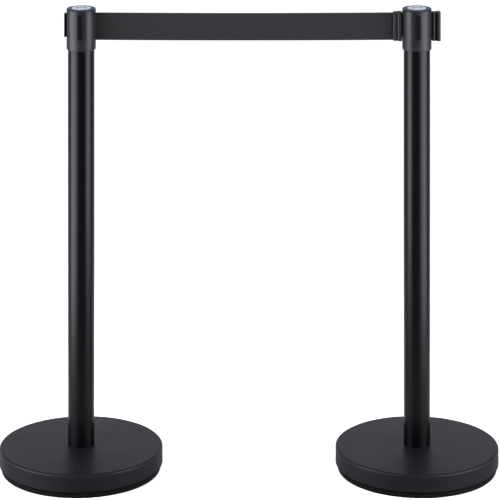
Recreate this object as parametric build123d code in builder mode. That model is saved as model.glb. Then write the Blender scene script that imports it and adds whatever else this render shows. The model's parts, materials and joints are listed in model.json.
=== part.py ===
from build123d import *
import math
import os

# A belt barrier of two free-standing posts. Each post is a steel tube bolted to a round weighted base,
# with a belt cassette in a moulded head. Post A's belt crosses the gap and hooks onto post B, and post
# B's own belt is parked with its clip against its head.
# Millimetres. The origin is on the floor midway between the posts, +X runs from post A to post B, and +Z is up.
# Every piece of a post is made about that post's own axis and then set on it.

# ---- driving dimensions ----
SPACING = 660.0  # between the two post axes
BASE_R = 160.0
RIM_TOP = 46.0  # top of the cover's rim above the floor
CROWN_TOP = 49.0  # the cover's centre, where the tube stands
SKIRT_BOTTOM = 13.5
TUBE_R = 26.1
TUBE_WALL = 1.9
HEAD_TOP = 905.0
HEAD_R = 28.9
HEAD_H = 81.0
BELT_W = 54.0
BELT_T = 0.55
BELT_LENGTH = 2000.0
BELT_MID = HEAD_TOP - 36.4
FIT = 0.05  # gap between pieces that are assembled tight
RUN = 0.03  # radial clearance on a turning shaft

# ---- base ----
FLOOR_RING_R = 155.6
FLOOR_RING_TOP = 9.0
COVER_T = 1.2
LAND_R = 28.0  # flat centre of the cover under the tube
WEIGHT_R = 150.0
WEIGHT_BOTTOM = 6.0
RECESS_R = 22.0
RECESS_ROOF = 19.0
BOLT_R = 5.0
BOLT_HEAD_AF = 16.0
BOLT_HEAD_H = 6.4
WASHER_T = 2.5
SPRING_WASHER_T = 2.2
PLUG_H = 22.0

# ---- head ----
TUBE_BORE = TUBE_R - TUBE_WALL
TUBE_TOP = HEAD_TOP - 6.5
SLEEVE_BORE = TUBE_R + FIT
SLEEVE_TOP = HEAD_TOP - 3.7
SLEEVE_BOTTOM = HEAD_TOP - HEAD_H
CAP_SEAT_R = 27.7
CAP_SEAT_Z = TUBE_TOP - 1.5
CAP_RIM_BOTTOM = SLEEVE_TOP + 0.6
CAP_RIM_TOP = HEAD_TOP - 1.5
LABEL_R = 25.0
LABEL_T = 0.4
SLOT_W = 6.0
SLOT_H = 56.6
RAIL_W = 12.4
RAIL_NECK = 5.0
RAIL_BOTTOM = HEAD_TOP - 57.0
RAIL_TOP = HEAD_TOP - 10.5
RAIL_SEAT = 28.05
RAIL_BACK = 31.2  # where the flange starts, measured from the post axis
RAIL_FACE = 33.2
RAIL_GROOVE_W = 1.8
RAIL_GROOVE_T = 0.8
RAIL_SCREW_R = 1.3
RAIL_SCREW_END = 31.9  # measured from the post axis, short of the groove in the rail's face
RAIL_SCREW_Z = (RAIL_BOTTOM + 8.0, RAIL_TOP - 8.0)
RAIL_SIDES = {"left": 180.0, "front": 270.0, "back": 90.0}
GRUB_R = 2.0
GRUB_Z = SLEEVE_BOTTOM + 6.0
GRUB_ANGLES = (60.0, 120.0)

# ---- cassette ----
FRAME_R = TUBE_BORE - 0.3
PILLAR_T = 2.6
PILLAR_ANGLES = (60.0, 180.0, 300.0)
PILLAR_SPAN = 40.0
PLATE_BOTTOM = HEAD_TOP - 86.0
PLATE_T = 3.0
LID_R = TUBE_R - FIT
LID_BOTTOM = TUBE_TOP + FIT
LID_T = 1.95
LID_SCREW_R = 1.0
SPINDLE_R = 3.0
SPINDLE_TOP = LID_BOTTOM + LID_T + 1.4
SPOOL_R = 20.9
HUB_R = 8.0
HUB_BORE = 5.05
FLANGE_T = 1.5
BELT_ROOM = BELT_W + 0.6
SPOOL_BOTTOM = BELT_MID - BELT_ROOM / 2 - FLANGE_T
SPOOL_TOP = BELT_MID + BELT_ROOM / 2 + FLANGE_T
CUP_BOTTOM = PLATE_BOTTOM + PLATE_T + 1.2
CUP_WALL = 1.0
SPRING_T = 0.35
SPRING_H = 12.0
SPRING_TURNS = 7

# ---- belt clip, measured from its nose towards the end that hooks on ----
CLIP_L = 17.2
CLIP_W = 18.0
CLIP_BOTTOM = HEAD_TOP - 64.3
CLIP_TOP = HEAD_TOP - 7.7
NOSE_L = 6.5
NOSE_W = 13.0
GROOVE_L = 2.0
GROOVE_W = 10.4
PIN_AT = 4.5
PIN_R = 2.0
PIN_ROOM_R = 3.3
PIN_ROOM_TOP = BELT_MID + BELT_W / 2 + 0.3
PIN_SEAT = 1.0  # how far the pin reaches into the clip above its room
PIN_HEAD_T = 0.6
PARKED_AT = HEAD_R + 0.5  # nose of a parked clip, from its own post axis
HOOKED_AT = -(RAIL_FACE + 13.5)  # nose of a hooked clip, from the other post's axis


def ring(outer, inner, bottom, top):
    """A plain turned ring or disc about the post axis."""
    with BuildPart() as piece:
        with BuildSketch(Plane.XY.offset(bottom)):
            Circle(outer)
            if inner:
                Circle(inner, mode=Mode.SUBTRACT)
        extrude(amount=top - bottom)
    return piece.part


def turned(points):
    """A solid of revolution about the post axis, from its (radius, height) outline."""
    with BuildPart() as piece:
        with BuildSketch(Plane.XZ):
            with BuildLine():
                Polyline(*points, close=True)
            make_face()
        revolve(axis=Axis.Z)
    return piece.part


def radial_plane(angle, distance, height):
    """A plane that faces outwards from the post axis, at that angle, distance and height."""
    a = math.radians(angle)
    out = (math.cos(a), math.sin(a), 0)
    return Plane(
        origin=(distance * out[0], distance * out[1], height),
        x_dir=(-out[1], out[0], 0),
        z_dir=out,
    )


def coil_radius(length):
    """Outer radius of that length of belt wound on the hub."""
    return math.sqrt(HUB_R**2 + length * BELT_T / math.pi)


# ---- base pieces ----
def floor_ring():
    lip_inner = WEIGHT_R + 0.4
    lip_top = FLOOR_RING_TOP + 5.0
    with BuildPart() as piece:
        with BuildSketch(Plane.XZ):
            with BuildLine():
                Polyline(
                    (136, 0),
                    (FLOOR_RING_R - 1.2, 0),
                    (FLOOR_RING_R, 1.6),
                    (FLOOR_RING_R, FLOOR_RING_TOP - 1),
                    (FLOOR_RING_R - 1, FLOOR_RING_TOP),
                    (lip_inner + 3, FLOOR_RING_TOP),
                    (lip_inner + 3, lip_top),
                    (lip_inner, lip_top),
                    (lip_inner, WEIGHT_BOTTOM - FIT),
                    (136, WEIGHT_BOTTOM - FIT),
                    close=True,
                )
            make_face()
        revolve(axis=Axis.Z)
    return piece.part


def base_cover():
    with BuildPart() as piece:
        with BuildSketch(Plane.XZ):
            with BuildLine():
                crown = TangentArc((LAND_R, CROWN_TOP), (BASE_R, RIM_TOP), tangent=(1, 0))
                Polyline(
                    crown @ 1,
                    (BASE_R, SKIRT_BOTTOM),
                    (0, SKIRT_BOTTOM),
                    (0, CROWN_TOP),
                    crown @ 0,
                )
            make_face()
        revolve(axis=Axis.Z)
        rim = piece.edges().filter_by(GeomType.CIRCLE).group_by(Axis.Z)[1].sort_by(SortBy.RADIUS)[-1]
        fillet(rim, radius=4.5)
        offset(amount=-COVER_T, openings=piece.faces().sort_by(Axis.Z)[0])
        with Locations((0, 0, CROWN_TOP)):
            Hole(BOLT_R + 0.5)
    return piece.part


def base_weight():
    return turned(
        [
            (BOLT_R + 0.5, RECESS_ROOF),
            (RECESS_R, RECESS_ROOF),
            (RECESS_R, WEIGHT_BOTTOM),
            (WEIGHT_R - 1.5, WEIGHT_BOTTOM),
            (WEIGHT_R, WEIGHT_BOTTOM + 1.5),
            (WEIGHT_R, RIM_TOP - 8),
            (WEIGHT_R - 4, RIM_TOP - 4),
            (LAND_R + 14, CROWN_TOP - COVER_T - 3),
            (LAND_R - 2, CROWN_TOP - COVER_T - FIT),
            (BOLT_R + 0.5, CROWN_TOP - COVER_T - FIT),
        ]
    )


def base_bolt():
    head_top = RECESS_ROOF - WASHER_T - SPRING_WASHER_T
    with BuildPart() as piece:
        with BuildSketch(Plane.XY.offset(head_top - BOLT_HEAD_H)):
            RegularPolygon(BOLT_HEAD_AF / 2, 6, major_radius=False)
        extrude(amount=BOLT_HEAD_H)
        chamfer(piece.edges().group_by(Axis.Z)[0], length=0.8)
        with BuildSketch(Plane.XY.offset(head_top)):
            Circle(BOLT_R)
        extrude(amount=CROWN_TOP + PLUG_H - 2 - head_top)
        chamfer(piece.edges().group_by(Axis.Z)[-1], length=1.0)
    return piece.part


def base_washers():
    with BuildPart() as piece:
        with BuildSketch(Plane.XY.offset(RECESS_ROOF - WASHER_T)):
            Circle(15)
            Circle(BOLT_R + 0.4, mode=Mode.SUBTRACT)
        extrude(amount=WASHER_T - FIT)
        with BuildSketch(Plane.XY.offset(RECESS_ROOF - WASHER_T - SPRING_WASHER_T + FIT)):
            Circle(9)
            Circle(BOLT_R + 0.2, mode=Mode.SUBTRACT)
            with Locations((7, 0)):
                Rectangle(6, 1.2, mode=Mode.SUBTRACT)  # the split
        extrude(amount=SPRING_WASHER_T - 2 * FIT)
    return piece.part


def foot_plug():
    """Turned plug held in the tube's foot by crimps over its groove. The base bolt screws into it."""
    r = TUBE_BORE - FIT
    z = CROWN_TOP + FIT
    bore = BOLT_R + 0.02
    return turned(
        [
            (bore, z),
            (r - 1, z),
            (r, z + 1),
            (r, z + 8),
            (r - 1.6, z + 9.6),
            (r - 1.6, z + 12.4),
            (r, z + 14),
            (r, z + PLUG_H - 1),
            (r - 1, z + PLUG_H),
            (bore, z + PLUG_H),
        ]
    )


# ---- tube and head pieces ----
def post_tube():
    with BuildPart() as piece:
        with BuildSketch(Plane.XY.offset(CROWN_TOP + FIT)):
            Circle(TUBE_R)
            Circle(TUBE_BORE, mode=Mode.SUBTRACT)
        extrude(amount=TUBE_TOP - CROWN_TOP - FIT)
        with BuildSketch(Plane.YZ):
            with Locations((0, TUBE_TOP - (SLOT_H + 3) / 2)):
                Rectangle(SLOT_W + 0.6, SLOT_H + 3)
        extrude(amount=2 * TUBE_R, mode=Mode.SUBTRACT)
        for angle in GRUB_ANGLES:
            with BuildSketch(radial_plane(angle, 0, GRUB_Z)):
                Circle(GRUB_R + 0.1)
            extrude(amount=2 * TUBE_R, mode=Mode.SUBTRACT)
    return piece.part


def head_sleeve():
    """The moulded head: a sleeve over the tube's end, with the belt's slot and seats for the rails."""
    with BuildPart() as piece:
        with BuildSketch(Plane.XY.offset(SLEEVE_BOTTOM)):
            Circle(HEAD_R)
        extrude(amount=SLEEVE_TOP - SLEEVE_BOTTOM)
        chamfer(piece.edges().group_by(Axis.Z)[0], length=0.8)
        chamfer(piece.edges().group_by(Axis.Z)[-1], length=0.4)
        with BuildSketch(Plane.XY.offset(SLEEVE_BOTTOM)):
            Circle(SLEEVE_BORE)
        extrude(amount=HEAD_H, mode=Mode.SUBTRACT)
        with BuildSketch(Plane.XY.offset(CAP_SEAT_Z)):
            Circle(CAP_SEAT_R)
        extrude(amount=HEAD_H, mode=Mode.SUBTRACT)
        with BuildSketch(Plane.YZ):
            with Locations((0, BELT_MID)):
                RectangleRounded(SLOT_W, SLOT_H, radius=SLOT_W / 2 - 0.01)
        extrude(amount=2 * HEAD_R, mode=Mode.SUBTRACT)
        for angle in RAIL_SIDES.values():
            middle = (RAIL_BOTTOM + RAIL_TOP) / 2
            with BuildSketch(radial_plane(angle, RAIL_SEAT - FIT, middle)):
                Rectangle(RAIL_NECK + 2 * FIT, RAIL_TOP - RAIL_BOTTOM + 2 * FIT)
            extrude(amount=HEAD_R, mode=Mode.SUBTRACT)
            for z in RAIL_SCREW_Z:
                with BuildSketch(radial_plane(angle, SLEEVE_BORE - 1, z)):
                    Circle(RAIL_SCREW_R + 0.1)
                extrude(amount=6, mode=Mode.SUBTRACT)
                with BuildSketch(radial_plane(angle, SLEEVE_BORE - 0.4, z)):
                    Circle(2.9)
                extrude(amount=1.65, taper=45, mode=Mode.SUBTRACT)
        for angle in GRUB_ANGLES:
            with BuildSketch(radial_plane(angle, 0, GRUB_Z)):
                Circle(GRUB_R + 0.02)
            extrude(amount=2 * HEAD_R, mode=Mode.SUBTRACT)
    return piece.part


def rail(angle):
    """A T-shaped rail that another post's belt clip slides down onto."""
    a = math.radians(angle)
    flange_mid = (RAIL_BACK + RAIL_FACE) / 2
    neck_mid = (RAIL_SEAT + RAIL_BACK) / 2
    with BuildPart() as piece:
        plane = Plane(origin=(0, 0, RAIL_BOTTOM), x_dir=(math.cos(a), math.sin(a), 0), z_dir=(0, 0, 1))
        with BuildSketch(plane):
            with Locations((flange_mid, 0)):
                RectangleRounded(RAIL_FACE - RAIL_BACK, RAIL_W, radius=0.7)
            with Locations((neck_mid, 0)):
                Rectangle(RAIL_BACK - RAIL_SEAT + 0.1, RAIL_NECK)
            with Locations((RAIL_FACE, 0)):
                Rectangle(2 * RAIL_GROOVE_T, RAIL_GROOVE_W, mode=Mode.SUBTRACT)
        extrude(amount=RAIL_TOP - RAIL_BOTTOM)
        for z in RAIL_SCREW_Z:
            with BuildSketch(radial_plane(angle, RAIL_SEAT - 1, z)):
                Circle(RAIL_SCREW_R + 0.02)
            extrude(amount=RAIL_SCREW_END - RAIL_SEAT + 1.1, mode=Mode.SUBTRACT)
    return piece.part


def rail_screws():
    """Two countersunk screws for each rail, driven outwards from inside the sleeve."""
    with BuildPart() as piece:
        for angle in RAIL_SIDES.values():
            for z in RAIL_SCREW_Z:
                with BuildSketch(radial_plane(angle, SLEEVE_BORE + 0.15, z)):
                    Circle(2.3)
                extrude(amount=0.98, taper=45)
                with BuildSketch(radial_plane(angle, SLEEVE_BORE + 0.16, z)):
                    Circle(RAIL_SCREW_R)
                extrude(amount=RAIL_SCREW_END - SLEEVE_BORE - 0.16)
                with BuildSketch(radial_plane(angle, SLEEVE_BORE, z)):
                    Rectangle(2.6, 0.5)
                    Rectangle(0.5, 2.6)
                extrude(amount=0.7, mode=Mode.SUBTRACT)  # cross recess
    return piece.part


def grub_screws():
    """Two set screws at the back that lock the sleeve to the tube."""
    with BuildPart() as piece:
        for angle in GRUB_ANGLES:
            with BuildSketch(radial_plane(angle, TUBE_BORE + 0.2, GRUB_Z)):
                Circle(GRUB_R)
            extrude(amount=HEAD_R - TUBE_BORE - 0.7)
            with BuildSketch(radial_plane(angle, HEAD_R - 2, GRUB_Z)):
                RegularPolygon(1, 6, major_radius=False)
            extrude(amount=2, mode=Mode.SUBTRACT)  # hexagon socket
    return piece.part


def outlet_guide():
    """Plastic lips through the slot that the belt runs between, held by a flange inside the tube."""
    inside = 22.9
    flange_out = 23.75
    mouth = HEAD_R - 0.25
    with BuildPart() as piece:
        with BuildSketch(Plane.YZ.offset(inside)):
            with Locations((0, BELT_MID)):
                RectangleRounded(9, SLOT_H + 0.6, radius=1.5)
        extrude(amount=flange_out - inside)
        with BuildSketch(Plane.YZ.offset(flange_out)):
            with Locations((0, BELT_MID)):
                RectangleRounded(SLOT_W - 0.1, SLOT_H - 0.1, radius=SLOT_W / 2 - 0.1)
        extrude(amount=mouth - flange_out)
        with BuildSketch(Plane.YZ.offset(inside)):
            with Locations((0, BELT_MID)):
                Rectangle(3.0, BELT_ROOM - 0.2)
        extrude(amount=mouth - inside, mode=Mode.SUBTRACT)
        with BuildSketch(Plane.YZ.offset(inside)):
            with Locations((0, BELT_MID)):
                Rectangle(6.0, BELT_ROOM - 0.2)
        extrude(amount=flange_out - inside, mode=Mode.SUBTRACT)  # wider where the belt comes in
        mouth_edges = piece.faces().sort_by(Axis.X)[-1].inner_wires()[0].edges().filter_by(Axis.Z)
        fillet(mouth_edges, radius=0.6)
    return piece.part


def top_cap():
    spigot_inner = CAP_SEAT_R - 1.3
    spigot_outer = CAP_SEAT_R - FIT
    spigot_bottom = CAP_SEAT_Z + 0.3
    with BuildPart() as piece:
        with BuildSketch(Plane.XZ):
            with BuildLine():
                dome = TangentArc(
                    (0, HEAD_TOP - LABEL_T),
                    (LABEL_R + 0.4, CAP_RIM_TOP),
                    tangent=(1, 0),
                )
                Polyline(
                    dome @ 0,
                    (0, CAP_RIM_BOTTOM + 1.1),
                    (spigot_inner - 2, CAP_RIM_BOTTOM + 0.3),
                    (spigot_inner, CAP_RIM_BOTTOM),
                    (spigot_inner, spigot_bottom),
                    (spigot_outer - 0.3, spigot_bottom),
                    (spigot_outer, spigot_bottom + 0.6),
                    (spigot_outer, CAP_RIM_BOTTOM),
                    (HEAD_R - 0.3, CAP_RIM_BOTTOM),
                    (HEAD_R, CAP_RIM_BOTTOM + 0.3),
                    (HEAD_R, CAP_RIM_TOP - 0.4),
                    (HEAD_R - 1.1, CAP_RIM_TOP + 0.3),
                    (LABEL_R + 0.8, CAP_RIM_TOP + 0.3),
                    dome @ 1,
                )
            make_face()
        revolve(axis=Axis.Z)
    return piece.part


def cap_label():
    """A printed disc stuck on the cap's shallow dome."""
    with BuildPart() as piece:
        with BuildSketch(Plane.XZ):
            with BuildLine():
                lower = TangentArc(
                    (0, HEAD_TOP - LABEL_T + FIT),
                    (LABEL_R, CAP_RIM_TOP + 2 * FIT),
                    tangent=(1, 0),
                )
                upper = TangentArc(
                    (0, HEAD_TOP),
                    (LABEL_R, CAP_RIM_TOP + LABEL_T),
                    tangent=(1, 0),
                )
                Line(lower @ 0, upper @ 0)
                Line(lower @ 1, upper @ 1)
            make_face()
        revolve(axis=Axis.Z)
    return piece.part


# ---- cassette pieces ----
def cassette_frame():
    mid_r = FRAME_R - PILLAR_T / 2
    with BuildPart() as piece:
        with BuildSketch(Plane.XY.offset(PLATE_BOTTOM)):
            Circle(FRAME_R)
            Circle(SPINDLE_R + 0.02, mode=Mode.SUBTRACT)
        extrude(amount=PLATE_T)
        for angle in PILLAR_ANGLES:
            with BuildSketch(Plane.XY.offset(PLATE_BOTTOM + PLATE_T)):
                with BuildLine():
                    CenterArc((0, 0), FRAME_R, angle - PILLAR_SPAN / 2, PILLAR_SPAN)
                    CenterArc((0, 0), FRAME_R - PILLAR_T, angle - PILLAR_SPAN / 2, PILLAR_SPAN)
                    for side in (-1, 1):
                        end = angle + side * PILLAR_SPAN / 2
                        PolarLine(
                            Vector(FRAME_R - PILLAR_T, 0).rotate(Axis.Z, end),
                            length=PILLAR_T,
                            angle=end,
                        )
                make_face()
            extrude(amount=TUBE_TOP - PLATE_BOTTOM - PLATE_T)
        with BuildSketch(Plane.XY.offset(TUBE_TOP)):
            with PolarLocations(mid_r, len(PILLAR_ANGLES), start_angle=PILLAR_ANGLES[0]):
                Circle(LID_SCREW_R + 0.02)
        extrude(amount=-9, mode=Mode.SUBTRACT)
    return piece.part


def cassette_lid():
    with BuildPart() as piece:
        with BuildSketch(Plane.XY.offset(LID_BOTTOM)):
            Circle(LID_R)
            Circle(SPINDLE_R + 0.02, mode=Mode.SUBTRACT)
        extrude(amount=LID_T)
        with Locations(Plane.XY.offset(LID_BOTTOM + LID_T)):
            with PolarLocations(FRAME_R - PILLAR_T / 2, len(PILLAR_ANGLES), start_angle=PILLAR_ANGLES[0]):
                CounterSinkHole(LID_SCREW_R + 0.1, 2.0, counter_sink_angle=90)
    return piece.part


def lid_screws():
    with BuildPart() as piece:
        spots = PolarLocations(FRAME_R - PILLAR_T / 2, len(PILLAR_ANGLES), start_angle=PILLAR_ANGLES[0])
        with BuildSketch(Plane.XY.offset(LID_BOTTOM + LID_T - 0.1)):
            with spots:
                Circle(1.85)
        extrude(amount=-0.85, taper=45)
        with BuildSketch(Plane.XY.offset(LID_BOTTOM + LID_T - 0.2)):
            with spots:
                Circle(LID_SCREW_R)
        extrude(amount=-9)
        with BuildSketch(Plane.XY.offset(LID_BOTTOM + LID_T)):
            with spots:
                Rectangle(2.2, 0.45)
                Rectangle(0.45, 2.2)
        extrude(amount=-0.6, mode=Mode.SUBTRACT)  # cross recess
    return piece.part


def spindle():
    """The fixed steel spindle that the spool turns on, slotted for the mainspring's inner end."""
    thread_bottom = PLATE_BOTTOM - 6.0
    clip_groove = LID_BOTTOM + LID_T + 0.1
    with BuildPart() as piece:
        with BuildSketch(Plane.XY.offset(thread_bottom)):
            Circle(SPINDLE_R)
        extrude(amount=SPINDLE_TOP - thread_bottom)
        chamfer(piece.edges(), length=0.4)
        with BuildSketch(Plane.XY.offset(clip_groove)):
            Circle(SPINDLE_R)
            Circle(SPINDLE_R - 0.6, mode=Mode.SUBTRACT)
        extrude(amount=0.8, mode=Mode.SUBTRACT)
        with BuildSketch(Plane.XY.offset(CUP_BOTTOM + CUP_WALL)):
            with Locations((SPINDLE_R / 2, 0)):
                Rectangle(SPINDLE_R + 1, 0.8)
        extrude(amount=SPRING_H + 1.6, mode=Mode.SUBTRACT)
    return piece.part


def spindle_fixings():
    """The clip in the spindle's top groove and the nut under the cassette."""
    with BuildPart() as piece:
        with BuildSketch(Plane.XY.offset(LID_BOTTOM + LID_T + 0.15)):
            Circle(5)
            Circle(SPINDLE_R - 0.55, mode=Mode.SUBTRACT)
            with Locations((4, 0)):
                Rectangle(6, 3.2, mode=Mode.SUBTRACT)
        extrude(amount=0.7)
        with BuildSketch(Plane.XY.offset(PLATE_BOTTOM - 5.0)):
            RegularPolygon(5, 6, major_radius=False)
            Circle(SPINDLE_R + 0.02, mode=Mode.SUBTRACT)
        extrude(amount=5.0 - FIT)
    return piece.part


def spool():
    with BuildPart() as piece:
        for bottom in (SPOOL_BOTTOM, SPOOL_TOP - FLANGE_T):
            with BuildSketch(Plane.XY.offset(bottom)):
                Circle(SPOOL_R)
            extrude(amount=FLANGE_T)
        with BuildSketch(Plane.XY.offset(SPOOL_BOTTOM)):
            Circle(HUB_R)
        extrude(amount=SPOOL_TOP - SPOOL_BOTTOM)
        with BuildSketch(Plane.XY.offset(SPOOL_BOTTOM)):
            Circle(HUB_BORE)
        extrude(amount=SPOOL_TOP - SPOOL_BOTTOM, mode=Mode.SUBTRACT)
        with BuildSketch(Plane.XY.offset(BELT_MID - BELT_ROOM / 2)):
            with Locations((-HUB_R + 1, 0)):
                Rectangle(3, 1.0)
        extrude(amount=BELT_ROOM, mode=Mode.SUBTRACT)  # slot for the belt's inner end
        with BuildSketch(Plane.XY.offset(SPOOL_TOP)):
            with PolarLocations(14.5, 5):
                Circle(3.2)
        extrude(amount=-FLANGE_T, mode=Mode.SUBTRACT)  # lightening holes in the upper flange
    return piece.part


def spool_bushes():
    """Flanged bushes: one in the spool's top, one in the bottom of the spring cup."""
    flange_r = 6.4
    with BuildPart() as piece:
        for start, flange_t, step in ((SPOOL_TOP, 0.8, 1), (CUP_BOTTOM, 0.7, -1)):
            barrel = 6.0 if step > 0 else CUP_WALL + 0.3
            with BuildSketch(Plane.XY.offset(start + step * FIT)):
                Circle(flange_r)
            extrude(amount=step * flange_t)
            with BuildSketch(Plane.XY.offset(start + step * FIT)):
                Circle(HUB_BORE - FIT)
            extrude(amount=-step * barrel)
        with BuildSketch(Plane.XY.offset(PLATE_BOTTOM)):
            Circle(SPINDLE_R + RUN)
        extrude(amount=HEAD_TOP - PLATE_BOTTOM, mode=Mode.SUBTRACT)
    return piece.part


def spring_cup():
    """Drawn steel cup under the spool that holds the mainspring and turns with the spool."""
    with BuildPart() as piece:
        with BuildSketch(Plane.XY.offset(CUP_BOTTOM)):
            Circle(SPOOL_R)
        extrude(amount=SPOOL_BOTTOM - FIT - CUP_BOTTOM)
        fillet(piece.edges().group_by(Axis.Z)[0], radius=1.4)
        offset(amount=-CUP_WALL, openings=piece.faces().sort_by(Axis.Z)[-1])
        with BuildSketch(Plane.XY.offset(CUP_BOTTOM)):
            Circle(HUB_BORE)
        extrude(amount=CUP_WALL, mode=Mode.SUBTRACT)
    return piece.part


def mainspring():
    """Flat spiral spring from the spindle's slot out to the cup's wall."""
    start_r = SPINDLE_R + 0.6
    end_r = SPOOL_R - CUP_WALL - 0.6
    steps = 14 * SPRING_TURNS

    def spiral(offset_r):
        return [
            Vector(start_r + offset_r + (end_r - start_r) * i / steps, 0).rotate(
                Axis.Z, 360 * SPRING_TURNS * i / steps
            )
            for i in range(steps + 1)
        ]

    with BuildPart() as piece:
        with BuildSketch(Plane.XY.offset(CUP_BOTTOM + CUP_WALL + 0.8)):
            with BuildLine():
                inner = Spline(*spiral(-SPRING_T / 2))
                outer = Spline(*spiral(SPRING_T / 2))
                Line(inner @ 0, outer @ 0)
                Line(inner @ 1, outer @ 1)
            make_face()
            with Locations((start_r / 2 + 0.5, SPRING_T / 2)):
                Rectangle(start_r - 0.9, SPRING_T)  # tang in the spindle's slot
        extrude(amount=SPRING_H)
    return piece.part


def drag_washer():
    """Felt washer under the cup that slows the spool as the belt runs in."""
    return ring(18.5, 7.0, PLATE_BOTTOM + PLATE_T, CUP_BOTTOM - 0.15)


# ---- belt pieces ----
def belt_coil(wound):
    return ring(coil_radius(wound), HUB_R + FIT, BELT_MID - BELT_W / 2, BELT_MID + BELT_W / 2)


def belt(wound, nose_x):
    """The run of belt from its coil, out of the slot and round the clip's pin. nose_x is the clip's nose."""
    pin_x = nose_x + PIN_AT
    bend_x = 23.6  # where the belt turns into the slot
    fold_x = nose_x + 1.4
    coil_r = coil_radius(wound) + BELT_T / 2 + 0.1
    leave = math.degrees(math.acos(coil_r / bend_x))
    loop_r = PIN_R + 0.1 + BELT_T / 2
    climb = math.degrees(math.asin(loop_r / (pin_x - fold_x)))
    with BuildPart() as piece:
        with BuildSketch(Plane.XY.offset(BELT_MID - BELT_W / 2)):
            with BuildLine():
                run = FilletPolyline(
                    Vector(coil_r, 0).rotate(Axis.Z, -leave),
                    (bend_x, 0),
                    (fold_x, 0),
                    Vector(pin_x, 0) + Vector(loop_r, 0).rotate(Axis.Z, 90 + climb),
                    radius=[1.6, 0.7],
                )
                CenterArc((pin_x, 0), loop_r, 90 + climb, -250)
            trace(line_width=BELT_T)
        extrude(amount=BELT_W)
    return piece.part


def clip_body(nose_x):
    """Moulded belt end: a nose that takes the belt and its pin, and a channel that slides down a rail."""
    main_at = nose_x + NOSE_L + GROOVE_L
    channel_at = nose_x - HOOKED_AT - RAIL_FACE - 0.25
    lip_at = nose_x - HOOKED_AT - RAIL_BACK + 0.2
    roof = RAIL_TOP + 0.1
    height = CLIP_TOP - CLIP_BOTTOM
    with BuildPart() as piece:
        with BuildSketch(Plane.XY.offset(CLIP_BOTTOM)):
            with Locations((nose_x + NOSE_L / 2, 0)):
                RectangleRounded(NOSE_L, NOSE_W, radius=2.6)
            with Locations((nose_x + NOSE_L + GROOVE_L / 2, 0)):
                Rectangle(GROOVE_L + 3, GROOVE_W)
            with Locations(((main_at + nose_x + CLIP_L) / 2, 0)):
                RectangleRounded(nose_x + CLIP_L - main_at, CLIP_W, radius=3.4)
        extrude(amount=height)
        ends = piece.faces().filter_by(Axis.Z)
        fillet(ends.edges(), radius=0.8)
        with BuildSketch(Plane.XY.offset(CLIP_BOTTOM)):
            with Locations(((channel_at + lip_at) / 2, 0)):
                Rectangle(lip_at - channel_at, RAIL_W + 0.8)
            with Locations((nose_x + CLIP_L, 0)):
                Rectangle(2 * (nose_x + CLIP_L - lip_at) + 1, RAIL_NECK + 1.2)
        extrude(amount=roof - CLIP_BOTTOM, mode=Mode.SUBTRACT)  # rail channel, open below
        with BuildSketch(Plane.XY.offset(CLIP_BOTTOM)):
            with Locations((nose_x + PIN_AT, 0)):
                Circle(PIN_ROOM_R)
            with Locations((nose_x + 1, 0)):
                Rectangle(4, 1.3)
        extrude(amount=PIN_ROOM_TOP - CLIP_BOTTOM, mode=Mode.SUBTRACT)  # room for the belt's loop
        with BuildSketch(Plane.XY.offset(PIN_ROOM_TOP)):
            with Locations((nose_x + PIN_AT, 0)):
                Circle(PIN_R + 0.02)
        extrude(amount=PIN_SEAT, mode=Mode.SUBTRACT)  # the pin's upper seat
    return piece.part


def clip_pin(nose_x):
    """Steel pin that the belt loops round, with a head that closes the clip below."""
    with BuildPart() as piece:
        with BuildSketch(Plane.XY.offset(CLIP_BOTTOM + 0.1)):
            with Locations((nose_x + PIN_AT, 0)):
                Circle(PIN_ROOM_R - 0.04)
        extrude(amount=PIN_HEAD_T)
        with BuildSketch(Plane.XY.offset(CLIP_BOTTOM + 0.1)):
            with Locations((nose_x + PIN_AT, 0)):
                Circle(PIN_R)
        extrude(amount=PIN_ROOM_TOP + PIN_SEAT - 0.2 - CLIP_BOTTOM)
    return piece.part


def post_pieces(belt_out, nose_x):
    """Every piece of one post about its own axis, with that much belt paid out and the clip's nose at nose_x."""
    wound = BELT_LENGTH - belt_out
    pieces = {
        "floor_ring": floor_ring(),
        "base_weight": base_weight(),
        "base_cover": base_cover(),
        "base_bolt": base_bolt(),
        "base_washers": base_washers(),
        "foot_plug": foot_plug(),
        "tube": post_tube(),
        "head_sleeve": head_sleeve(),
        "rail_screws": rail_screws(),
        "grub_screws": grub_screws(),
        "outlet_guide": outlet_guide(),
        "top_cap": top_cap(),
        "cap_label": cap_label(),
        "cassette_frame": cassette_frame(),
        "cassette_lid": cassette_lid(),
        "lid_screws": lid_screws(),
        "spindle": spindle(),
        "spindle_fixings": spindle_fixings(),
        "spool": spool(),
        "spool_bushes": spool_bushes(),
        "spring_cup": spring_cup(),
        "mainspring": mainspring(),
        "drag_washer": drag_washer(),
        "belt_coil": belt_coil(wound),
        "belt": belt(wound, nose_x),
        "clip_body": clip_body(nose_x),
        "clip_pin": clip_pin(nose_x),
    }
    pieces.update({f"rail_{side}": rail(angle) for side, angle in RAIL_SIDES.items()})
    return pieces


hooked_nose = SPACING + HOOKED_AT
posts = {
    "post_a": (-SPACING / 2, post_pieces(hooked_nose - HEAD_R, hooked_nose)),
    "post_b": (SPACING / 2, post_pieces(PARKED_AT - HEAD_R, PARKED_AT)),
}
os.makedirs("parts", exist_ok=True)
for post, (post_x, pieces) in posts.items():
    for name, piece in pieces.items():
        placed = piece.moved(Location((post_x, 0, 0)))
        placed.label = f"{post}_{name}"
        export_step(placed, os.path.join("parts", f"{placed.label}.step"))
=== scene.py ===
import json
import math

import bmesh
import bpy
from mathutils import Matrix, Vector


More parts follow.
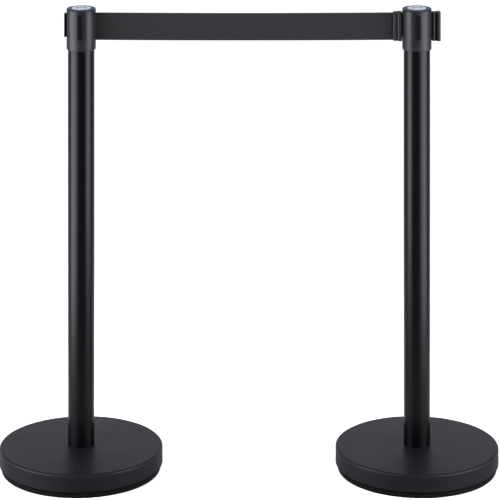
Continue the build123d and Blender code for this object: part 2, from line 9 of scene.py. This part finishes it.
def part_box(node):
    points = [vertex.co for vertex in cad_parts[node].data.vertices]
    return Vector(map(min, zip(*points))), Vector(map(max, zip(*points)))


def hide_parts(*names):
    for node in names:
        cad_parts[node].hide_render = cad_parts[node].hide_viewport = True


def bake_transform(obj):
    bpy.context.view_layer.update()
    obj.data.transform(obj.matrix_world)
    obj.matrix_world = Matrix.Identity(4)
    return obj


bl_info = {
    "name": "Retractable belt stanchions",
    "version": (1, 0, 0),
    "blender": (4, 5, 0),
    "location": "View3D > Sidebar > Stanchions",
    "description": "Webbing belts, finishes and a studio for a pair of belt posts",
    "category": "Object",
}

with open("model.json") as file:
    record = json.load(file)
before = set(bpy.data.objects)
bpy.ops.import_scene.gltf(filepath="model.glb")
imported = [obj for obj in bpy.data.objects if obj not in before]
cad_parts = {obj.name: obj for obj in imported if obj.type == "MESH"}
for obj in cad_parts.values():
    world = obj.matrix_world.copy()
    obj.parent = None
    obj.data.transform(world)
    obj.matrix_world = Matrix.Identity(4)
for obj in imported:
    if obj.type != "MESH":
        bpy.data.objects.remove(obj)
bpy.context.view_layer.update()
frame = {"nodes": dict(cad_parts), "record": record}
MM = 0.001


def centre_of(node):
    """The middle of a CAD node's box."""
    low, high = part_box(node)
    return (low + high) / 2


POST_X = {post: centre_of(f"post_{post}_tube").x for post in "ab"}
AXIS_X = abs(POST_X["b"])  # both post axes are this far from the origin
BASE_R = (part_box("post_a_base_cover")[1].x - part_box("post_a_base_cover")[0].x) / 2
RIM_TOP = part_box("post_a_base_cover")[1].z - 3 * MM
BELT_LOW, BELT_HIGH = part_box("post_a_belt")[0].z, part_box("post_a_belt")[1].z
BELT_MID = (BELT_LOW + BELT_HIGH) / 2
BELT_WIDTH = BELT_HIGH - BELT_LOW
COIL_GAP = 0.375 * MM  # from the coil's surface to the middle of the belt that leaves it
SLOT_AT = 23.6 * MM  # where the belt turns into its slot, from the post's axis
SLOT_BEND = 1.6 * MM
FOLD_AT = 1.4 * MM  # where the belt parts to go round the pin, from the clip's nose
PIN_AT = 4.5 * MM
LOOP_R = 2.375 * MM
LOOP_TURN = math.radians(250)


# ---- values a user would change ----
class StanchionBelt(bpy.types.PropertyGroup):
    thickness: bpy.props.FloatProperty(
        name="Thickness",
        description="Thickness of the webbing between its ribs",
        default=0.45 * MM,
        min=0.2 * MM,
        max=0.5 * MM,
        precision=5,
        unit="LENGTH",
    )
    rib_height: bpy.props.FloatProperty(
        name="Rib height",
        description="How far each lengthwise rib stands out of the webbing",
        default=0.07 * MM,
        min=0.0,
        max=0.12 * MM,
        precision=5,
        unit="LENGTH",
    )
    ribs: bpy.props.IntProperty(
        name="Ribs",
        description="Lengthwise ribs across the webbing",
        default=12,
        min=2,
        max=30,
    )
    sag: bpy.props.FloatProperty(
        name="Sag",
        description="How far the middle of the drawn belt hangs below its ends",
        default=1.2 * MM,
        min=0.0,
        max=10 * MM,
        precision=4,
        unit="LENGTH",
    )
    tail: bpy.props.FloatProperty(
        name="Tail",
        description="Length of the belt's end that follows its clip up and off a rail",
        default=0.22,
        min=0.05,
        max=0.4,
        precision=3,
        unit="LENGTH",
    )


class StanchionColours(bpy.types.PropertyGroup):
    webbing: bpy.props.FloatVectorProperty(
        name="Webbing",
        description="Colour of the belts",
        default=(0.0031, 0.0031, 0.0033),
        subtype="COLOR",
        min=0.0,
        max=1.0,
    )
    base_paint: bpy.props.FloatVectorProperty(
        name="Base",
        description="Colour of the powder-coated base covers",
        default=(0.0036, 0.0036, 0.0044),
        subtype="COLOR",
        min=0.0,
        max=1.0,
    )
    tube_paint: bpy.props.FloatVectorProperty(
        name="Tube",
        description="Colour of the coated tubes",
        default=(0.0004, 0.0004, 0.0006),
        subtype="COLOR",
        min=0.0,
        max=1.0,
    )
    head: bpy.props.FloatVectorProperty(
        name="Head",
        description="Colour of the moulded heads and caps",
        default=(0.0038, 0.0038, 0.0043),
        subtype="COLOR",
        min=0.0,
        max=1.0,
    )
    label_ring: bpy.props.FloatVectorProperty(
        name="Label ring",
        description="Colour printed round the cap's label",
        default=(0.006, 0.010, 0.022),
        subtype="COLOR",
        min=0.0,
        max=1.0,
    )
    label_paper: bpy.props.FloatVectorProperty(
        name="Label",
        description="Colour of the middle of the cap's label",
        default=(0.22, 0.24, 0.27),
        subtype="COLOR",
        min=0.0,
        max=1.0,
    )


class StanchionStudio(bpy.types.PropertyGroup):
    distance: bpy.props.FloatProperty(
        name="Camera distance",
        description="From the camera to the plane through both posts",
        default=5.39,
        min=1.0,
        unit="LENGTH",
    )
    height: bpy.props.FloatProperty(
        name="Camera height",
        description="The camera above the floor",
        default=2.034,
        min=0.1,
        unit="LENGTH",
    )
    side: bpy.props.FloatProperty(
        name="Camera side",
        description="The camera to the right of the middle between the posts",
        default=1.9 * MM,
        precision=4,
        unit="LENGTH",
    )
    drop: bpy.props.FloatProperty(
        name="Camera drop",
        description="Angle below level of the line through the picture's middle",
        default=math.radians(16.588),
        min=0.0,
        max=math.radians(60),
        subtype="ANGLE",
    )
    width: bpy.props.FloatProperty(
        name="Picture width",
        description="Width of the picture in the plane through both posts",
        default=0.983,
        min=0.1,
        unit="LENGTH",
    )
    floor: bpy.props.FloatProperty(
        name="Floor",
        description="How pale the floor is",
        default=0.9,
        min=0.0,
        max=1.0,
        subtype="FACTOR",
    )


# ---- materials ----
class Number:
    """A value in a material: Python's arithmetic on it adds Math nodes."""

    def __init__(self, finish, socket):
        self.finish = finish
        self.socket = socket

    def __add__(self, other):
        return self.finish.math("ADD", self, other)

    def __radd__(self, other):
        return self.finish.math("ADD", other, self)

    def __sub__(self, other):
        return self.finish.math("SUBTRACT", self, other)

    def __mul__(self, other):
        return self.finish.math("MULTIPLY", self, other)

    def __rmul__(self, other):
        return self.finish.math("MULTIPLY", other, self)

    def __abs__(self):
        return self.finish.math("ABSOLUTE", self)

    def sin(self):
        return self.finish.math("SINE", self)

    def clamped(self):
        """The value kept between 0 and 1."""
        return self.finish.math("ADD", self, 0.0, use_clamp=True)

    def smooth(self, low, high):
        """0 below low, 1 above high, and an even slope between them."""
        settings = {"interpolation_type": "SMOOTHSTEP"}
        values = {"Value": self, "From Min": low, "From Max": high}
        return self.finish.number("ShaderNodeMapRange", settings, values, "Result")


class Finish:
    """One procedural material: a Principled shader and the pattern maths that feeds it."""

    def __init__(self, name, **constants):
        self.material = bpy.data.materials.new(name)
        self.material.use_nodes = True
        self.tree = self.material.node_tree
        self.shader = self.tree.nodes["Principled BSDF"]
        for socket, value in constants.items():
            self.shader.inputs[socket.replace("_", " ")].default_value = value
        coordinates = self.tree.nodes.new("ShaderNodeTexCoord")
        self.place = coordinates.outputs["Object"]
        split = self.node("ShaderNodeSeparateXYZ", {}, {"Vector": self.place})
        self.x, self.y, self.z = (Number(self, split.outputs[axis]) for axis in "XYZ")
        self.across = abs(self.x) - AXIS_X  # from the nearer post's axis

    def node(self, kind, settings, values):
        """A node with its settings, then the values or links of its sockets."""
        made = self.tree.nodes.new(kind)
        for key, value in settings.items():
            setattr(made, key, value)
        for socket, value in values.items():
            if isinstance(value, Number):
                value = value.socket
            if isinstance(value, bpy.types.NodeSocket):
                self.tree.links.new(value, made.inputs[socket])
            else:
                made.inputs[socket].default_value = value
        return made

    def number(self, kind, settings, values, output):
        return Number(self, self.node(kind, settings, values).outputs[output])

    def math(self, operation, first, second=0.0, use_clamp=False):
        settings = {"operation": operation, "use_clamp": use_clamp}
        return self.number("ShaderNodeMath", settings, {0: first, 1: second}, 0)

    def mix(self, factor, first, second):
        """One colour over another by a factor from 0 to 1."""
        values = {0: factor, 6: colour4(first), 7: colour4(second)}
        return self.node("ShaderNodeMix", {"data_type": "RGBA"}, values).outputs[2]

    def stretched(self, x=1.0, y=1.0, z=1.0):
        """The place with each axis scaled, for patterns that run one way."""
        values = {"Vector": self.place, "Scale": (x, y, z)}
        return self.node("ShaderNodeMapping", {}, values).outputs[0]

    def noise(self, size, detail=3.0, roughness=0.55, place=None):
        """Noise whose grains are about size metres, from 0 to 1."""
        values = {
            "Vector": place or self.place,
            "Scale": 1.0 / size,
            "Detail": detail,
            "Roughness": roughness,
        }
        return self.number("ShaderNodeTexNoise", {}, values, 0)

    def cells(self, size, place=None):
        """Distance to the nearest of scattered points about size metres apart."""
        values = {"Vector": place or self.place, "Scale": 1.0 / size}
        return self.number("ShaderNodeTexVoronoi", {}, values, "Distance")

    def radius(self):
        """Distance from the nearer post's axis."""
        squares = self.across * self.across + self.y * self.y
        return self.math("SQRT", squares)

    def colour(self, value):
        if isinstance(value, bpy.types.NodeSocket):
            self.tree.links.new(value, self.shader.inputs["Base Color"])
        else:
            self.shader.inputs["Base Color"].default_value = colour4(value)

    def feed(self, socket, value):
        self.tree.links.new(value.socket, self.shader.inputs[socket])

    def bump(self, height, depth, strength=1.0):
        """Relief of that depth in metres."""
        values = {"Height": height, "Distance": depth, "Strength": strength}
        made = self.node("ShaderNodeBump", {}, values)
        self.tree.links.new(made.outputs[0], self.shader.inputs["Normal"])


def colour4(value):
    if isinstance(value, bpy.types.NodeSocket):
        return value
    return (*tuple(value)[:3], 1.0)


def scaled(colour, factor):
    return tuple(min(1.0, channel * factor) for channel in tuple(colour)[:3])


def webbing_finish(colours):
    """Woven polyester: yarns along the belt over yarns across it, tighter bands at both edges."""
    warp_pitch = 1.6 * MM
    weft_pitch = 1.1 * MM
    made = Finish("webbing", Sheen_Weight=0.04, Sheen_Roughness=0.5, Specular_IOR_Level=0.07)
    height = made.z - BELT_MID
    warp = (height * (2 * math.pi / warp_pitch)).sin()
    weft = (made.x * (2 * math.pi / weft_pitch)).sin()
    weave = warp * weft
    edge = abs(height).smooth(19.5 * MM, 20.5 * MM)
    lines = (height * (2 * math.pi / (3.2 * MM))).sin().smooth(0.45, 0.95) * edge
    wear = made.noise(9 * MM, 4.0, 0.6, made.stretched(x=0.25))
    fibre = made.noise(0.35 * MM, 2.0, 0.7, made.stretched(x=0.2))
    yarn = (weave * 0.25 + fibre * 0.5 + 0.15).clamped()
    body = made.mix(yarn, scaled(colours.webbing, 0.72), scaled(colours.webbing, 1.35))
    banded = made.mix(lines * 0.55, body, scaled(colours.webbing, 0.45))
    rubbed = made.mix((wear - 0.55).clamped() * 0.8, banded, scaled(colours.webbing, 1.8))
    made.colour(rubbed)
    made.feed("Roughness", 0.72 + fibre * 0.2)
    made.bump(weave * 0.5 + fibre * 0.35 - lines * 0.6, 0.16 * MM)
    return made


def powder_coat(name, colour, grain, depth, gloss, spread, rim, shine):
    """Powder coat: fine orange peel, faint clouding and a few hair scratches. With rim, a base's
    rim paler with a blotchy painted highlight, over a rougher skirt darkened with painted shade."""
    made = Finish(name, Specular_IOR_Level=shine)
    peel = made.noise(grain, 2.0, 0.5)
    cloud = made.noise(60 * MM, 3.0, 0.5)
    speck = made.cells(1.3 * MM).smooth(0.12, 0.0)
    scratch_run = made.noise(3 * MM, 2.0, 0.5, made.stretched(x=0.06, z=0.4))
    scratches = scratch_run.smooth(0.70, 0.74)
    tone = made.mix(cloud, scaled(colour, 0.90), scaled(colour, 1.10))
    tone = made.mix(speck * 0.12, tone, scaled(colour, 2.2))
    tone = made.mix(scratches * 0.18, tone, scaled(colour, 2.4))
    if rim:
        # painted highlight: the rounded rim is paler, in blotches
        paler_mask = made.radius().smooth(BASE_R - 3.6 * MM, BASE_R - 1.6 * MM)
        paler_mask = paler_mask * (made.z.smooth(RIM_TOP - 4.5 * MM, RIM_TOP - 2.5 * MM))
        blotches = made.noise(6 * MM, 4.0, 0.65)
        tone = made.mix(paler_mask * (blotches * 0.15), tone, scaled(colour, 2.0))
        # painted shade: the skirt's colour drops to 0.3 of the coat's below the rim; the skirt is
        # also made rougher
        shaded_skirt = made.z.smooth(RIM_TOP - 2.5 * MM, RIM_TOP - 5.5 * MM)
        tone = made.mix(shaded_skirt * 0.75, tone, scaled(colour, 0.3))
        gloss = shaded_skirt * 0.2 + gloss
    made.colour(tone)
    made.feed("Roughness", gloss + (cloud - 0.5) * spread + (peel - 0.5) * spread)
    made.bump(peel - scratches * 0.3, depth)
    return made


def moulded(name, colour, grain, depth, gloss, flow=0.3, shine=0.15):
    """Moulded plastic: fine grain, a little flow streaking and finger marks."""
    made = Finish(name, Specular_IOR_Level=shine)
    texture = made.cells(grain)
    streak = made.noise(14 * MM, 3.0, 0.5, made.stretched(z=flow))
    marks = made.noise(11 * MM, 5.0, 0.6).smooth(0.5, 0.72)
    tone = made.mix(streak, scaled(colour, 0.85), scaled(colour, 1.2))
    made.colour(made.mix(marks * 0.15, tone, scaled(colour, 1.8)))
    made.feed("Roughness", gloss + texture * 0.05 + marks * 0.10)
    made.bump(texture, depth)
    return made


def worn_paint(name, colour, gloss):
    """Satin black over steel, polished pale where clips rub it."""
    made = Finish(name, Specular_IOR_Level=0.05)
    blotches = made.noise(3.5 * MM, 5.0, 0.65, made.stretched(z=0.25))
    peel = made.noise(0.7 * MM, 2.0, 0.5)
    paler_mask = blotches.smooth(0.60, 0.78)
    made.colour(made.mix(paler_mask * 0.05, scaled(colour, 1.0), (0.30, 0.30, 0.31)))
    made.feed("Metallic", paler_mask * 0.25)
    made.feed("Roughness", gloss + peel * 0.08 - paler_mask * 0.06)
    made.bump(peel, 0.02 * MM)
    return made


def metal(name, colour, gloss, lengthwise=0.05, tint=None):
    """Worked metal: fine tool marks, with patches of duller plating or heat colour."""
    made = Finish(name, Metallic=1.0)
    tool = made.noise(0.5 * MM, 3.0, 0.6, made.stretched(z=lengthwise))
    patch = made.noise(5 * MM, 4.0, 0.55)
    second = tint or scaled(colour, 0.72)
    made.colour(made.mix((patch * 0.7 + tool * 0.3).clamped(), colour, second))
    made.feed("Roughness", gloss + patch * 0.12 + tool * 0.08)
    made.bump(tool, 0.015 * MM)
    return made


def rubber_finish():
    """Moulded rubber with a matt skin, dust in its pores and a mould line round it."""
    made = Finish("rubber", Specular_IOR_Level=0.02)
    pores = made.cells(0.9 * MM)
    dust = made.noise(22 * MM, 5.0, 0.6).smooth(0.5, 0.8)
    line = abs(made.z - 4.6 * MM).smooth(0.5 * MM, 0.2 * MM)
    skin = made.mix(pores, (0.0010, 0.0010, 0.0010), (0.0022, 0.0022, 0.0022))
    made.colour(made.mix(dust * 0.1, skin, (0.02, 0.0195, 0.018)))
    made.feed("Roughness", 0.7 + dust * 0.2)
    made.bump(pores * 0.4 + line, 0.10 * MM)
    return made


def concrete_finish():
    """Cast concrete: sand grain, blow holes and damp patches."""
    made = Finish("concrete", Specular_IOR_Level=0.2)
    sand = made.noise(0.8 * MM, 5.0, 0.7)
    holes = made.cells(7 * MM).smooth(0.16, 0.06)
    damp = made.noise(45 * MM, 4.0, 0.6)
    tone = made.mix(damp, (0.30, 0.29, 0.27), (0.44, 0.43, 0.40))
    tone = made.mix(sand * 0.5, tone, (0.24, 0.23, 0.21))
    made.colour(made.mix(holes, tone, (0.09, 0.085, 0.08)))
    made.feed("Roughness", 0.82 + sand * 0.15)
    made.bump(sand * 0.4 - holes, 0.8 * MM)
    return made


def felt_finish():
    made = Finish("felt", Sheen_Weight=0.6, Sheen_Roughness=0.6)
    fibres = made.noise(0.5 * MM, 6.0, 0.8)
    made.colour(made.mix(fibres, (0.20, 0.19, 0.17), (0.46, 0.44, 0.40)))
    made.feed("Roughness", 0.88 + fibres * 0.1)
    made.bump(fibres, 0.4 * MM)
    return made


def label_finish(colours):
    """The cap's printed disc: a dark ring, a pale middle and a sign of two posts and a belt."""
    made = Finish("label_print", Specular_IOR_Level=0.003)
    radius = made.radius()
    fade = made.noise(16 * MM, 4.0, 0.6)
    fleck = made.noise(0.5 * MM, 3.0, 0.7)
    pale = radius.smooth(19.2 * MM, 18.8 * MM)
    paper = made.mix(fade, colours.label_paper, scaled(colours.label_paper, 1.08))
    ring = made.mix(fleck, colours.label_ring, scaled(colours.label_ring, 1.35))
    hoop = abs(radius - 22.4 * MM).smooth(0.5 * MM, 0.3 * MM)
    ring = made.mix(hoop * 0.7, ring, scaled(colours.label_paper, 0.55))
    side = abs(abs(made.across) - 8.5 * MM)
    post = side.smooth(1.5 * MM, 1.2 * MM) * abs(made.y).smooth(6.3 * MM, 6.0 * MM)
    foot = side.smooth(3.2 * MM, 2.9 * MM) * abs(made.y + 5.2 * MM).smooth(1.1 * MM, 0.8 * MM)
    belt = abs(made.across).smooth(8.0 * MM, 7.8 * MM)
    belt = belt * abs(made.y - 2.9 * MM).smooth(2.2 * MM, 1.9 * MM)
    sign = (post + foot + belt).clamped()
    face = made.mix(sign * 0.8, paper, scaled(colours.label_ring, 1.6))
    made.colour(made.mix(pale, ring, face))
    made.feed("Roughness", 0.28 + fleck * 0.08)
    made.bump(fleck, 0.01 * MM)
    return made


def all_finishes(colours):
    """Every material slot of the record, by name."""
    made = [
        webbing_finish(colours),
        powder_coat(
            "base_paint", colours.base_paint, 0.75 * MM, 0.05 * MM, 0.42, 0.10, True, 0.05
        ),
        powder_coat(
            "tube_black", colours.tube_paint, 2.2 * MM, 0.018 * MM, 0.30, 0.06, False, 0.058
        ),
        moulded("head_black", colours.head, 0.6 * MM, 0.008 * MM, 0.33, shine=0.07),
        moulded("clip_plastic", scaled(colours.head, 0.8), 0.5 * MM, 0.02 * MM, 0.42, shine=0.10),
        moulded("guide_plastic", scaled(colours.head, 0.8), 0.5 * MM, 0.02 * MM, 0.5),
        moulded("cassette_plastic", (0.10, 0.10, 0.105), 0.7 * MM, 0.02 * MM, 0.5),
        # the rails' colour is cut to 0.4 of the heads' as painted shade in the gap beside the
        # clips
        worn_paint("rail_black", scaled(colours.head, 0.4), 0.30),
        metal("zinc_steel", (0.60, 0.60, 0.57), 0.28, tint=(0.52, 0.52, 0.46)),
        metal("black_steel", (0.07, 0.07, 0.075), 0.35),
        metal("plug_metal", (0.66, 0.66, 0.67), 0.25),
        metal("spindle_steel", (0.58, 0.58, 0.59), 0.18),
        metal("spring_steel", (0.30, 0.32, 0.38), 0.25, tint=(0.10, 0.13, 0.22)),
        metal("bronze", (0.60, 0.42, 0.22), 0.40, tint=(0.36, 0.22, 0.11)),
        rubber_finish(),
        concrete_finish(),
        felt_finish(),
        label_finish(colours),
    ]
    return {finish.material.name: finish.material for finish in made}


# ---- modelling helpers ----
def start_clean():
    """Object mode with nothing selected."""
    if bpy.context.mode != "OBJECT":
        bpy.ops.object.mode_set(mode="OBJECT")
    bpy.ops.object.select_all(action="DESELECT")


def apply_modifier(piece, kind, **settings):
    modifier = piece.modifiers.new(kind.title(), kind)
    for key, value in settings.items():
        setattr(modifier, key, value)
    bpy.context.view_layer.objects.active = piece
    bpy.ops.object.modifier_apply(modifier=modifier.name)


def pick(piece, wanted, kind="verts"):
    """In edit mode, selects only the vertices, edges or faces for which wanted is true."""
    mesh = bmesh.from_edit_mesh(piece.data)
    bpy.ops.mesh.select_all(action="DESELECT")
    for element in getattr(mesh, kind):
        if wanted(element):
            element.select_set(True)
    mesh.select_flush_mode()
    bmesh.update_edit_mesh(piece.data)


def run_length(path):
    return sum((b - a).length for a, b in zip(path, path[1:]))


def webbing_strip(name, path, belt, sag_from=None, sag_to=None):
    """A strip of webbing on edge along a level path, with lengthwise ribs."""
    start_clean()
    first, second = path[0], path[1]
    step = second - first
    middle = (first + second) / 2
    bpy.ops.mesh.primitive_plane_add(
        size=1,
        location=(middle.x, middle.y, BELT_MID),
        rotation=(math.radians(90), 0, math.atan2(step.y, step.x)),
    )
    strip = bpy.context.object
    strip.name = name
    strip.scale = (step.length, BELT_WIDTH, 1)
    bpy.ops.object.transform_apply(location=True, rotation=True, scale=True)
    bpy.ops.object.mode_set(mode="EDIT")
    bpy.context.tool_settings.mesh_select_mode = (False, True, False)
    end = Vector((second.x, second.y, BELT_MID))

    def at_end(edge):
        return ((edge.verts[0].co + edge.verts[1].co) / 2 - end).length < 1e-5

    pick(strip, at_end, "edges")
    for a, b in zip(path[1:], path[2:]):
        move = (b.x - a.x, b.y - a.y, 0)
        bpy.ops.mesh.extrude_edges_move(TRANSFORM_OT_translate={"value": move})

    def upright(edge):
        return abs(edge.verts[0].co.z - edge.verts[1].co.z) > BELT_WIDTH / 2

    pick(strip, upright, "edges")
    bpy.ops.mesh.subdivide(number_cuts=2 * belt.ribs - 1)
    bpy.ops.mesh.select_all(action="SELECT")
    bpy.ops.mesh.normals_make_consistent(inside=False)
    bpy.ops.object.mode_set(mode="OBJECT")
    apply_modifier(strip, "SOLIDIFY", thickness=belt.thickness, offset=0, use_even_offset=True)
    rib = BELT_WIDTH / (2 * belt.ribs)

    def on_crest(vert):
        row = round((vert.co.z - BELT_LOW) / rib)
        return row % 2 == 1

    bpy.ops.object.mode_set(mode="EDIT")
    bpy.context.tool_settings.mesh_select_mode = (True, False, False)
    pick(strip, on_crest)
    bpy.ops.transform.shrink_fatten(value=belt.rib_height)
    bpy.ops.object.mode_set(mode="OBJECT")
    if sag_from is not None:
        for vert in strip.data.vertices:
            along = min(1.0, max(0.0, (vert.co.x - sag_from) / (sag_to - sag_from)))
            vert.co.z -= belt.sag * 4 * along * (1 - along)
    bpy.ops.object.shade_smooth_by_angle(angle=math.radians(50))
    strip.data.materials.append(bpy.data.materials["webbing"])
    return strip


def outlet_path(post):
    """From the coil round to the slot: a straight run, then a small bend."""
    coil_low, coil_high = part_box(f"post_{post}_belt_coil")
    coil_r = (coil_high.x - coil_low.x) / 2 + COIL_GAP
    leave = math.acos(coil_r / SLOT_AT)
    off_coil = Vector((coil_r * math.cos(leave), -coil_r * math.sin(leave), 0))
    corner = Vector((SLOT_AT, 0, 0))
    heading = math.atan2(corner.y - off_coil.y, corner.x - off_coil.x)
    trim = SLOT_BEND * math.tan(heading / 2)
    into = corner + (off_coil - corner).normalized() * trim
    centre = Vector((SLOT_AT + trim, -SLOT_BEND, 0))
    points = [off_coil + (into - off_coil) * part / 6 for part in range(6)]
    for part in range(7):
        turn = heading * (1 - part / 6)
        points.append(centre + Vector((-math.sin(turn), math.cos(turn), 0)) * SLOT_BEND)
    return [point + Vector((POST_X[post], 0, 0)) for point in points]


def loop_path(nose_x):
    """From the clip's nose round its pin."""
    pin = Vector((nose_x + PIN_AT, 0, 0))
    fold = Vector((nose_x + FOLD_AT, 0, 0))
    climb = math.asin(LOOP_R / (pin.x - fold.x))
    points = [fold]
    for part in range(22):
        turn = math.pi / 2 + climb - LOOP_TURN * part / 21
        points.append(pin + Vector((math.cos(turn), math.sin(turn), 0)) * LOOP_R)
    return points


def level_run(start_x, end_x, parts):
    """Evenly spaced points along the belt's straight run, without the first."""
    return [Vector((start_x + (end_x - start_x) * i / parts, 0, 0)) for i in range(1, parts + 1)]


# ---- operators ----
class STANCHION_OT_finishes(bpy.types.Operator):
    """Gives every part of both posts its finish"""

    bl_idname = "stanchion.finishes"
    bl_label = "Finishes"

    def execute(self, context):
        for plain in list(bpy.data.materials):
            bpy.data.materials.remove(plain)
        finishes = all_finishes(context.scene.stanchion_colours)
        for subpart in frame["record"]["subparts"]:
            part = frame["nodes"][subpart["node"]]
            material = finishes[subpart["material_slot"]]
            if not part.data.materials:
                part.data.materials.append(material)
            for index in range(len(part.data.materials)):
                part.data.materials[index] = material
        return {"FINISHED"}


class STANCHION_OT_drawn_belt(bpy.types.Operator):
    """Post A's belt, drawn across to post B: the run, and the tail that follows the clip"""

    bl_idname = "stanchion.drawn_belt"
    bl_label = "Drawn belt"

    def execute(self, context):
        belt = context.scene.stanchion_belt
        nose_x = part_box("post_a_clip_body")[0].x
        outlet = outlet_path("a")
        join_x = nose_x - belt.tail
        slot_x = outlet[-1].x
        sag = {"sag_from": slot_x, "sag_to": nose_x}
        path = outlet + level_run(slot_x, join_x, 36)
        run = webbing_strip("drawn_belt_run", path, belt, **sag)
        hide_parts("post_a_belt")
        flat = (BELT_WIDTH, run_length(path))
        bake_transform(run)
        path = [Vector((join_x, 0, 0))] + level_run(join_x, nose_x, 24) + loop_path(nose_x)
        tail = webbing_strip("drawn_belt_tail", path, belt, **sag)
        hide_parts("post_a_belt")
        flat = (BELT_WIDTH, run_length(path))
        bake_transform(tail)
        return {"FINISHED"}


class STANCHION_OT_parked_belt(bpy.types.Operator):
    """Post B's belt, wound in so that only its end shows between the slot and the clip"""

    bl_idname = "stanchion.parked_belt"
    bl_label = "Parked belt"

    def execute(self, context):
        belt = context.scene.stanchion_belt
        nose_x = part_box("post_b_clip_body")[0].x
        outlet = outlet_path("b")
        slot_x = outlet[-1].x
        path = outlet + level_run(slot_x, nose_x, 8) + loop_path(nose_x)
        strip = webbing_strip("parked_belt", path, belt)
        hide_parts("post_b_belt")
        flat = (BELT_WIDTH, run_length(path))
        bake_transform(strip)
        return {"FINISHED"}


LAMP_COLOUR = (0.92, 0.94, 1.0)
SKY_COLOUR = (0.90, 0.94, 1.0, 1.0)
SKY_STRENGTH = 0.42
# name, place, aim, width, height, watts and spread in degrees
LAMPS = (
    ("lamp_left", (-1.1, -0.42, 0.80), (-0.2, 0, 0.76), 1.15, 1.72, 51, 86),
    ("lamp_right", (1.1, -0.52, 0.80), (0.2, 0, 0.76), 1.15, 1.72, 46, 86),
    ("lamp_back", (0, 3.2, 3.2), (0, 3.2, 0), 5.5, 5.5, 95, 140),
    ("lamp_far", (0, 5.4, 1.9), (0, 0, 0.6), 7.0, 2.2, 48, 180),
    ("lamp_front", (0, -3.0, 3.4), (0, 0, 0.4), 2.0, 2.0, 3, 60),
)


def softbox(name, place, aim, width, height, watts, spread):
    """A rectangular lamp that the camera doesn't see."""
    lamp = bpy.data.lights.new(name, "AREA")
    lamp.shape = "RECTANGLE"
    lamp.color = LAMP_COLOUR
    lamp.size = width
    lamp.size_y = height
    lamp.energy = watts
    lamp.spread = math.radians(spread)
    holder = bpy.data.objects.new(name, lamp)
    bpy.context.scene.collection.objects.link(holder)
    holder.location = place
    holder.rotation_euler = (Vector(aim) - Vector(place)).to_track_quat("-Z", "Y").to_euler()
    holder.visible_camera = False
    return holder


def rising_camera(studio):
    """A camera whose picture plane stands upright while it looks down: uprights stay parallel.
    Its holder is scaled unevenly along two slanted axes, and the camera is turned back inside.
    """
    sink, level = math.sin(studio.drop), math.cos(studio.drop)
    up = Vector((0, 0, 1))
    back = Vector((0, -level, sink))
    long_axis = (up + back).normalized()
    short_axis = (back - up).normalized()
    long_scale, short_scale = math.sqrt(1 + sink), math.sqrt(1 - sink)
    holder_matrix = Matrix(
        (Vector((1, 0, 0)), long_axis * long_scale, short_axis * short_scale)
    ).transposed()
    half = math.sqrt(0.5)
    turn_back = Matrix(((1, 0, 0), (0, half, half), (0, -half, half)))
    holder = bpy.data.objects.new("camera_holder", None)
    bpy.context.scene.collection.objects.link(holder)
    holder.matrix_world = holder_matrix.to_4x4()
    lens = bpy.data.cameras.new("camera")
    camera = bpy.data.objects.new("camera", lens)
    bpy.context.scene.collection.objects.link(camera)
    camera.parent = holder
    place = Vector((studio.side, -studio.distance, studio.height))
    inside = holder_matrix.inverted() @ place
    camera.matrix_basis = Matrix.Translation(inside) @ turn_back.to_4x4()
    lens.sensor_width = 36
    lens.lens = lens.sensor_width * studio.distance / (studio.width * level)
    lens.clip_end = 100
    return camera


class STANCHION_OT_stage(bpy.types.Operator):
    """The pale floor, the soft lamps and the camera"""

    bl_idname = "stanchion.stage"
    bl_label = "Stage"

    def execute(self, context):
        studio = context.scene.stanchion_studio
        start_clean()
        bpy.ops.mesh.primitive_plane_add(size=40, location=(0, 0, 0))
        floor = context.object
        floor.name = "floor"
        paint = Finish("floor_paint", Roughness=0.9, Specular_IOR_Level=0.1)
        paint.colour((studio.floor,) * 3)
        floor.data.materials.append(paint.material)
        world = bpy.data.worlds.new("studio")
        context.scene.world = world
        world.use_nodes = True
        backdrop = world.node_tree.nodes["Background"]
        backdrop.inputs["Color"].default_value = SKY_COLOUR
        backdrop.inputs["Strength"].default_value = SKY_STRENGTH
        for lamp in LAMPS:
            softbox(*lamp)
        context.scene.view_settings.view_transform = "Standard"
        context.scene.camera = rising_camera(studio)
        return {"FINISHED"}


class STANCHION_PT_panel(bpy.types.Panel):
    """Lists the steps that build the scene"""

    bl_label = "Stanchions"
    bl_idname = "STANCHION_PT_panel"
    bl_space_type = "VIEW_3D"
    bl_region_type = "UI"
    bl_category = "Stanchions"

    def draw(self, context):
        for operator in OPERATORS:
            self.layout.operator(operator.bl_idname)
        for group in GROUPS:
            values = getattr(context.scene, group)
            for key in GROUPS[group].__annotations__:
                self.layout.prop(values, key)


GROUPS = {
    "stanchion_belt": StanchionBelt,
    "stanchion_colours": StanchionColours,
    "stanchion_studio": StanchionStudio,
}
OPERATORS = (
    STANCHION_OT_finishes,
    STANCHION_OT_drawn_belt,
    STANCHION_OT_parked_belt,
    STANCHION_OT_stage,
)
CLASSES = (*GROUPS.values(), *OPERATORS, STANCHION_PT_panel)


def register():
    for cls in CLASSES:
        bpy.utils.register_class(cls)
    for name, group in GROUPS.items():
        setattr(bpy.types.Scene, name, bpy.props.PointerProperty(type=group))


def unregister():
    for name in GROUPS:
        delattr(bpy.types.Scene, name)
    for cls in reversed(CLASSES):
        bpy.utils.unregister_class(cls)


def main():
    register()
    bpy.ops.stanchion.finishes()
    bpy.ops.stanchion.drawn_belt()
    bpy.ops.stanchion.parked_belt()
    bpy.ops.stanchion.stage()


if __name__ == "__main__":
    main()
